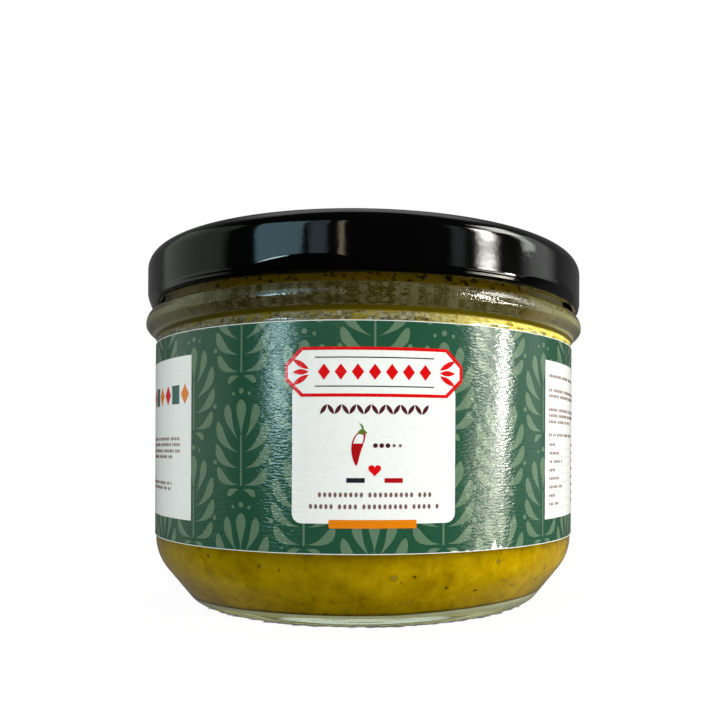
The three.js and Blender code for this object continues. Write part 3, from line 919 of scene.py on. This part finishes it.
add(tree, "ShaderNodeOutputMaterial", {"Surface": surface.outputs[0]})
print(f"{lacquer.name}: {len(tree.nodes)} nodes")

# %% Turn the lid
LID_STEPS = 480
places, faces = turned(lid_profile, LID_STEPS, lug_press)
mesh_piece("twist_off_lid", places, faces, "lid_lacquer", [lacquer], "lid")

# %% [markdown]
# ## The label's paper
# The label is one strip of coated paper, glued round the straight side, with its ends a finger's width apart
# at the back. The printed face stops short of the edges, so the white paper shows as a fine line there.
# It is built as a closed sheet with real thickness, because its edge casts a line of shadow on the glass.

# %% The label's sizes
PAPER = 0.18
PROUD = 0.06  # how far the print's own layers may stand over the paper
PAPER_RADIUS = LABEL_RADIUS - PROUD
HALF_SPAN = 174.0
BARE_EDGE = 0.12
ROW_HEIGHTS = [LABEL_BOTTOM, LABEL_BOTTOM + BARE_EDGE, *np.linspace(LABEL_BOTTOM + 2, LABEL_TOP - 2, 10),
               LABEL_TOP - BARE_EDGE, LABEL_TOP]


def wrap(along, height, lift=0.0):
    """A place on the label, by its way along it from the front, its height and how far it stands out."""
    bearing = np.asarray(along) / LABEL_RADIUS
    radius = PAPER_RADIUS + lift
    return np.stack([radius * np.sin(bearing), -radius * np.cos(bearing),
                     np.broadcast_to(height, bearing.shape)], -1)


print(f"label {2 * math.radians(HALF_SPAN) * LABEL_RADIUS:.0f} long, {LABEL_TOP - LABEL_BOTTOM:.1f} high")

# %% [markdown]
# The print is varnished offset ink on coated paper. Its gloss isn't a clean mirror: the paper's fibres, which
# run round the jar, break the window's image into short bright lines. The fibres are a noise stretched along
# the label, and a second, rounder noise makes the ink a little uneven, as ink on paper is.

# %% Printed paper
FIBRE_LENGTH, FIBRE_WIDTH, FIBRE_DEPTH = 1.0, 0.34, 0.055
MOTTLE_PITCH = 0.8
MOTTLE = (0.93, 1.07)  # least and most of the ink's brightness


def printed_paper(name, hex_colour, roughness=0.15):
    """Coated paper with varnished print: a gloss that is broken up by fibres that run round the jar."""
    made, tree = material(name)
    place = add(tree, "ShaderNodeTexCoord").outputs["Object"]
    part = add(tree, "ShaderNodeSeparateXYZ", {0: place})
    forward = add(tree, "ShaderNodeMath", {0: part.outputs["Y"], 1: -1.0}, operation="MULTIPLY")
    bearing = add(tree, "ShaderNodeMath", {0: part.outputs["X"], 1: forward.outputs[0]}, operation="ARCTAN2")
    along = add(tree, "ShaderNodeMath", {0: bearing.outputs[0], 1: LABEL_RADIUS / FIBRE_LENGTH},
                operation="MULTIPLY")
    up = add(tree, "ShaderNodeMath", {0: part.outputs["Z"], 1: 1 / (FIBRE_WIDTH * MM)}, operation="MULTIPLY")
    flat = add(tree, "ShaderNodeCombineXYZ", {"X": along.outputs[0], "Y": up.outputs[0]})
    fibre = add(tree, "ShaderNodeTexNoise", {"Vector": flat.outputs[0], "Scale": 1.0, "Detail": 2.0})
    mottle = add(tree, "ShaderNodeTexNoise", {"Vector": place, "Scale": 1 / (MOTTLE_PITCH * MM),
                                              "Detail": 3.0})
    shade = add(tree, "ShaderNodeMapRange", {"Value": mottle.outputs[0], "To Min": MOTTLE[0],
                                             "To Max": MOTTLE[1]})
    colour = add(tree, "ShaderNodeMix", {"Factor": 1.0, "A": linear(hex_colour), "B": shade.outputs[0]},
                 data_type="RGBA", blend_type="MULTIPLY")
    relief = add(tree, "ShaderNodeBump", {"Height": fibre.outputs[0], "Distance": FIBRE_DEPTH * MM,
                                          "Strength": 0.9})
    surface = add(tree, "ShaderNodeBsdfPrincipled", {"Base Color": colour.outputs["Result"],
                                                      "Roughness": roughness, "IOR": 1.5,
                                                      "Normal": relief.outputs[0]})
    add(tree, "ShaderNodeOutputMaterial", {"Surface": surface.outputs[0]})
    return made


bare_paper = printed_paper("coated_label_paper", "#e9ebe6", 0.5)
green_ink = printed_paper("green_offset_ink", "#23503a")
print(f"{green_ink.name}: {len(green_ink.node_tree.nodes)} nodes")

# %% The sheet as a closed mesh
columns = 348
along = np.linspace(-math.radians(HALF_SPAN), math.radians(HALF_SPAN), columns + 1) * LABEL_RADIUS
rows = len(ROW_HEIGHTS)
grid = np.concatenate([np.stack([wrap(along, z, lift) for z in ROW_HEIGHTS]) for lift in (0.0, -PAPER)])
places = grid.reshape(-1, 3)
wide = columns + 1


def front(i, j):
    """Number of a point on the printed face."""
    return i * wide + j


def back(i, j):
    """Number of the point behind it."""
    return (rows + i) * wide + j


faces = []
for j in range(columns):
    faces += [(front(i, j), front(i, j + 1), front(i + 1, j + 1), front(i + 1, j)) for i in range(rows - 1)]
    faces += [(back(i, j), back(i + 1, j), back(i + 1, j + 1), back(i, j + 1)) for i in range(rows - 1)]
    faces.append((front(0, j), back(0, j), back(0, j + 1), front(0, j + 1)))
    faces.append((front(rows - 1, j), front(rows - 1, j + 1), back(rows - 1, j + 1), back(rows - 1, j)))
for i in range(rows - 1):
    faces.append((front(i, 0), front(i + 1, 0), back(i + 1, 0), back(i, 0)))
    faces.append((front(i, columns), back(i, columns), back(i + 1, columns), front(i + 1, columns)))
sheet = mesh_piece("label_sheet", places, faces, "label_paper", [bare_paper, green_ink], "label", sharp=40)
for face in sheet.data.polygons:
    heights = [sheet.data.vertices[v].co.z / MM for v in face.vertices]
    inked = min(heights) > LABEL_BOTTOM + 0.5 * BARE_EDGE and max(heights) < LABEL_TOP - 0.5 * BARE_EDGE
    face.material_index = int(inked)

# %% [markdown]
# ## The print
# Print could be painted by a texture, but flat shapes are sharp at any distance and stay editable. Each ink
# is a set of outlines, drawn flat as on a drawing board, with the way along the label across and the height
# up. They are cut into narrow strips so that they can bend, wrapped round the jar, and closed into a film
# a few hundredths of a millimetre thick. Inks printed later lie a hair higher.

# %% From outlines to a film of ink
STRIP = 1.5
FILM_SUNK = 0.04
PRINT_END = math.radians(HALF_SPAN) * LABEL_RADIUS - BARE_EDGE
PRINTED = (-PRINT_END, PRINT_END, LABEL_BOTTOM + BARE_EDGE, LABEL_TOP - BARE_EDGE)


def cut(flat, spot, towards, keep_both=False):
    """Cuts the outlines by a plane, and throws away what lies beyond it unless both sides are kept."""
    geometry = [*flat.verts, *flat.edges, *flat.faces]
    bmesh.ops.bisect_plane(flat, geom=geometry, plane_co=spot, plane_no=towards, clear_outer=not keep_both)


def film(name, outlines, lift, ink, within=PRINTED):
    """One ink as closed films wrapped on the label, cut off at its left, right, low and high ends."""
    flat = bmesh.new()
    for outline in outlines:
        flat.faces.new([flat.verts.new((s, 0, z)) for s, z in outline])
    left, right_end, low, high = within
    cut(flat, (left, 0, 0), (-1, 0, 0))
    cut(flat, (right_end, 0, 0), (1, 0, 0))
    cut(flat, (0, 0, low), (0, 0, -1))
    cut(flat, (0, 0, high), (0, 0, 1))
    spread = [v.co.x for v in flat.verts]
    for k in range(math.floor(min(spread) / STRIP) + 1, math.ceil(max(spread) / STRIP)):
        cut(flat, (k * STRIP, 0, 0), (1, 0, 0), keep_both=True)
    bmesh.ops.triangulate(flat, faces=flat.faces)
    made = bmesh.ops.extrude_face_region(flat, geom=flat.faces[:], use_keep_orig=True)["geom"]
    outer = {item for item in made if isinstance(item, bmesh.types.BMVert)}
    for v in flat.verts:
        v.co = Vector(wrap(v.co.x, v.co.z, lift if v in outer else -FILM_SUNK)) * MM
    bmesh.ops.recalc_face_normals(flat, faces=flat.faces)
    mesh = bpy.data.meshes.new(name)
    flat.to_mesh(mesh)
    flat.free()
    return finish_piece(name, mesh, "label_paper", [ink], sharp=40)


print(f"print ends {PRINT_END:.1f} mm to either side of the front")

# %% Outlines that the print is drawn with
def blade(root, tip, width, bow=0.0, fullest=0.5, blunt=0.8, steps=9):
    """A leaf or petal. It bows to its left and is widest at a share of its length. Less blunt is rounder."""
    root, tip = np.array(root, float), np.array(tip, float)
    along = tip - root
    left = np.array([-along[1], along[0]]) / np.hypot(*along)
    t = (1 - np.cos(np.linspace(0, math.pi, steps + 1)))[:, None] / 2
    middle = root + along * t + left * bow * 4 * t * (1 - t)
    half = left * width / 2 * np.abs(np.sin(math.pi * t ** (math.log(0.5) / math.log(fullest)))) ** blunt
    return [*map(tuple, middle - half), *map(tuple, (middle + half)[-2:0:-1])]


def oval(centre, wide, high=None, steps=14):
    """A disc, or an oval where a height is given."""
    angles = np.linspace(0, 2 * math.pi, steps, endpoint=False)
    return [(centre[0] + wide / 2 * math.cos(a), centre[1] + (high or wide) / 2 * math.sin(a))
            for a in angles]


def bar(left, right_end, low, high, cut_corner=0.0, steps=1):
    """A bar, with its corners cut straight or rounded off."""
    c = cut_corner
    corners = [((right_end - c, low + c), -90), ((right_end - c, high - c), 0),
               ((left + c, high - c), 90), ((left + c, low + c), 180)]
    if not c:
        return [corner for corner, _ in corners]
    return [point for corner, start in corners for point in arc(corner, c, start, start + 90, steps)]


def ring(outer, inner):
    """A band between two outlines that have as many points."""
    turned_on = zip(outer, outer[1:] + outer[:1], inner[1:] + inner[:1], inner)
    return [list(quad) for quad in turned_on]


def mirrored_pair(outline):
    """An outline and its mirror image across the middle line."""
    return [outline, [(-s, z) for s, z in outline[::-1]]]


def moved(outlines, s, z):
    """Outlines shifted along the label and upward."""
    return [[(x + s, y + z) for x, y in outline] for outline in outlines]


print(f"an oval has {len(oval((0, 0), 1))} corners")

# %% [markdown]
# ## The ornament
# The ground is a dark green, with a lighter sage pattern over it, a common sort of folk ornament. Here it
# is a sprig: a bud on a stem, between arching leaves. It repeats in columns, each half a step lower than the
# last, as printed cloth does. The column's width is a whole part of the way round, so the pattern meets
# itself at the back.

# %% Sprigs of sage ink
COLUMNS = 24
COLUMN_WIDTH = 2 * math.pi * LABEL_RADIUS / COLUMNS
SPRIG_STEP = 17.85
SPRIG_MIDDLE = 30.2

sprig = [blade((0, 0.6), (0, 6.6), 1.9, 0, 0.76, 0.6), bar(-0.17, 0.17, -7.0, 1.0), oval((0, 7.9), 0.9)]
one_side = [blade((0.5, 0.2), (2.9, 5.9), 1.6, -0.55, 0.76, 0.6),
            blade((0.45, -1.8), (4.9, 3.1), 1.7, -1.0, 0.74, 0.6),
            blade((0.45, -4.2), (5.2, -0.5), 1.7, -1.0, 0.74, 0.6),
            blade((0.4, -6.8), (4.9, -4.2), 1.6, -0.9, 0.74, 0.6),
            blade((0.35, -7.6), (2.7, -8.6), 1.0, 0.3, 0.7, 0.6),
            oval((1.55, 7.5), 0.6), oval((5.5, 5.6), 0.8)]
for outline in one_side:
    sprig += mirrored_pair(outline)

pattern = []
for column in range(-COLUMNS // 2, COLUMNS // 2 + 1):
    drop = SPRIG_STEP / 2 * (column % 2)
    for step in (-1, 0, 1, 2):
        pattern += moved(sprig, column * COLUMN_WIDTH, SPRIG_MIDDLE + step * SPRIG_STEP - drop)
sage_ink = printed_paper("sage_offset_ink", "#5f7a60")
film("label_ornament", pattern, 0.02, sage_ink)

# %% [markdown]
# ## The panels and their marks
# White panels lie over the ornament, one in front and one at either side. The front one carries plain marks:
# a framed plate with lozenges, a garland of small leaves, a pepper with a scale of five dots for how hot it
# is, a heart between two bars, and rows of small ovals in place of fine print.

# %% The white panels
PANEL_HALF = 12.8
PANEL_LOW, PANEL_HIGH = 17.7, 39.0
SIDE_PANEL = (33.4, 58.0, 17.1, 44.6)  # nearer end, further end, bottom and top
PLATE_HALF, PLATE_LOW, PLATE_HIGH = 14.0, 37.0, 44.6
PLATE_CORNER = 2.6
PLATE_LINE = 0.5

white_ink = printed_paper("white_label_ground", "#f0f2ee")
near_end, far_end, low, high = SIDE_PANEL
front_panel = bar(-PANEL_HALF, PANEL_HALF, PANEL_LOW, PANEL_HIGH, 1.5, 5)
side_panels = mirrored_pair(bar(near_end, far_end, low, high))
film("label_white_panels", [front_panel, *side_panels], 0.033, white_ink)

plate_edge = bar(-PLATE_HALF, PLATE_HALF, PLATE_LOW, PLATE_HIGH, PLATE_CORNER)
plate_inside = bar(-PLATE_HALF + PLATE_LINE, PLATE_HALF - PLATE_LINE, PLATE_LOW + PLATE_LINE,
                   PLATE_HIGH - PLATE_LINE, PLATE_CORNER - PLATE_LINE * 0.4)
film("label_plate_ground", [plate_inside], 0.045, white_ink)

# %% Heights of the marks
PLATE_MIDDLE = (PLATE_LOW + PLATE_HIGH) / 2
GARLAND_HEIGHT = 35.1
PEPPER_TOP = (-1.9, 31.6)
PEPPER_FILL = 29.9  # the pepper is filled up to here, as a gauge
SCALE_HEIGHT = 29.6
HEART_HEIGHT = 25.9
BAR_HEIGHT = 24.3
print(f"marks between {BAR_HEIGHT} and {PLATE_HIGH}")


# %% Hearts and lozenges
def heart(centre, size, steps=24):
    """A heart by the usual curve, which is 34 units wide."""
    angles = np.linspace(0, 2 * math.pi, steps, endpoint=False)
    return [(centre[0] + size / 34 * 16 * math.sin(a) ** 3 * -1,
             centre[1] + size / 34 * (13 * math.cos(a) - 5 * math.cos(2 * a) - 2 * math.cos(3 * a)
                                      - math.cos(4 * a))) for a in angles]


def lozenge(centre, wide, high):
    """A square on its point, drawn wider or higher."""
    return oval(centre, wide, high, 4)


print(f"a heart has {len(heart((0, 0), 1))} corners")

# %% Marks in coloured inks
red = ring(plate_edge, plate_inside)
red += [lozenge((k * 2.6, PLATE_MIDDLE), 1.9, 2.5) for k in range(-3, 4)]
for tilt in (-1.5, 0, 1.5):
    red += mirrored_pair(blade((10.2, PLATE_MIDDLE + 0.3 * tilt), (12.7, PLATE_MIDDLE + 1.3 * tilt), 0.85))
red.append(heart((0, HEART_HEIGHT), 2.1))
navy = [bar(-4.3, -1.5, BAR_HEIGHT - 0.36, BAR_HEIGHT + 0.36)]
navy += [bar(-9.2, 9.2, h - 0.09, h + 0.09) for h in (PLATE_MIDDLE - 2.2, PLATE_MIDDLE + 2.2)]
pepper = blade(PEPPER_TOP, (PEPPER_TOP[0] - 0.9, 26.5), 1.75, -0.45, 0.28, 0.6, 14)
pepper_middle = np.mean(pepper, 0)
pepper_inside = [tuple(pepper_middle + (np.array(p) - pepper_middle) * (0.76, 0.9)) for p in pepper]
dark_red = [*ring(pepper, pepper_inside), [(s, min(z, PEPPER_FILL)) for s, z in pepper_inside],
            bar(1.5, 4.3, BAR_HEIGHT - 0.36, BAR_HEIGHT + 0.36)]
leaf_green = [blade((PEPPER_TOP[0] - 0.75, 31.45), (PEPPER_TOP[0] + 0.75, 31.45), 0.8, 0.25),
              blade((PEPPER_TOP[0], 31.6), (PEPPER_TOP[0] - 0.5, 33.0), 0.32, -0.3)]
maroon = []
for k in range(-7, 8):
    lean = 0.5 if k % 2 else -0.5
    maroon.append(blade((k * 1.12 - lean, GARLAND_HEIGHT - 0.75), (k * 1.12 + lean, GARLAND_HEIGHT + 0.75),
                        0.62))
maroon += [oval((0.1 + 0.95 * k, SCALE_HEIGHT), 0.72) for k in range(3)]
fine_print = [oval((0.1 + 0.95 * k, SCALE_HEIGHT), 0.5) for k in (3, 4)]
print(f"marks: {len(red)} red, {len(navy)} navy and {len(maroon)} maroon outlines")

# %% Rows of fine print
OVAL_STEP = 0.62
row_marks = random.Random(11)


def fine_row(left, right_end, height, size=0.62):
    """Small ovals in groups of two to nine, from one end to the other."""
    made = []
    place = left
    while place < right_end:
        for _ in range(row_marks.randint(2, 9)):
            if place < right_end:
                made.append(oval((place, height), size * 0.62, size, 8))
            place += OVAL_STEP * size / 0.62
        place += OVAL_STEP * 0.8
    return made


fine_print += fine_row(-8.4, 8.6, 22.1, 0.8) + fine_row(-9.8, 9.8, 20.3, 0.8)
bold_rows = [(42.0, 15), (39.5, 18), (31.7, 14)]
for height, length in [*bold_rows, (38.5, 17), (36.1, 19), (35.1, 18), (34.0, 12)]:
    fine_print += fine_row(near_end + 1.6, near_end + 1.6 + length, height)
hair = []
for line in range(8):
    height = 30.0 - 1.48 * line
    fine_print += fine_row(near_end + 1.8, near_end + 4 + line % 3 * 1.8, height)
    fine_print += fine_row(near_end + 16, near_end + 19, height)
    hair.append(bar(near_end + 1.5, near_end + 20, height - 0.78, height - 0.7))
for height in (30.7, 29.7, 28.6, 27.6, 23.0, 22.1):
    fine_print += fine_row(-near_end - 19, -near_end - 3.5 - (height < 28) * 3, height)
print(f"fine print: {len(fine_print)} ovals")

# %% An orange bar and a row of tiles
orange = [bar(-7.0, 6.5, 17.0, 18.3, 0.2, 3)]
tiles = []
for k in range(6):
    centre = (-near_end - 2.0 - 3.3 * k, 38.2)
    if k % 3 == 1:
        tiles.append(bar(centre[0] - 1.4, centre[0] + 1.4, 36.6, 39.8))
    else:
        (orange if k % 3 == 0 else red).append(lozenge(centre, 2.6, 3.4))
print(f"{len(tiles)} tiles and {len(orange)} orange outlines")

# %% Print the inks
INK_LIFT = 0.058
inks = {"red": (red, "#d8060a"), "dark_red": (dark_red, "#ac0a14"), "navy": (navy, "#20262f"),
        "leaf_green": (leaf_green, "#5c7a2c"), "maroon": (maroon, "#4f1f24"),
        "fine_print": (fine_print, "#7b5a55"), "hairlines": (hair, "#c9c9c2"),
        "orange": (orange, "#e27f06"), "tiles": (tiles, "#1f5a4a")}
for name, (outlines, hex_colour) in inks.items():
    film("label_" + name, outlines, INK_LIFT, printed_paper(name + "_offset_ink", hex_colour))

# %% [markdown]
# ## A torn edge
# The lower edge of the label has been rubbed against something, and the print has come off in ragged bits
# that show the white paper. They are the same film as an ink, with an uneven outline.

# %% Bare bits on the lower edge
BARE_BITS = [(11.6, 2.4, 0.3), (14.5, 1.1, 0.35), (15.9, 1.8, 0.4), (18.2, 1.1, 0.4), (19.5, 1.6, 1.75),
             (20.9, 1.4, 0.7), (22.2, 1.3, 0.45)]  # where each starts, its length and its height
BARE_STEPS = 8

torn = []
chance = random.Random(5)
for start, length, tall in BARE_BITS:
    upper = [(start + length * (1 - i / BARE_STEPS), LABEL_BOTTOM + tall * math.sin(math.pi * i / BARE_STEPS)
              * chance.uniform(0.5, 1.0)) for i in range(1, BARE_STEPS)]
    torn.append([(start, LABEL_BOTTOM), (start + length, LABEL_BOTTOM), *upper])
film("label_torn_bits", torn, 0.03, printed_paper("torn_label_paper", "#dfe0d8", 0.7),
     (0, 30, LABEL_BOTTOM + 0.01, LABEL_TOP))
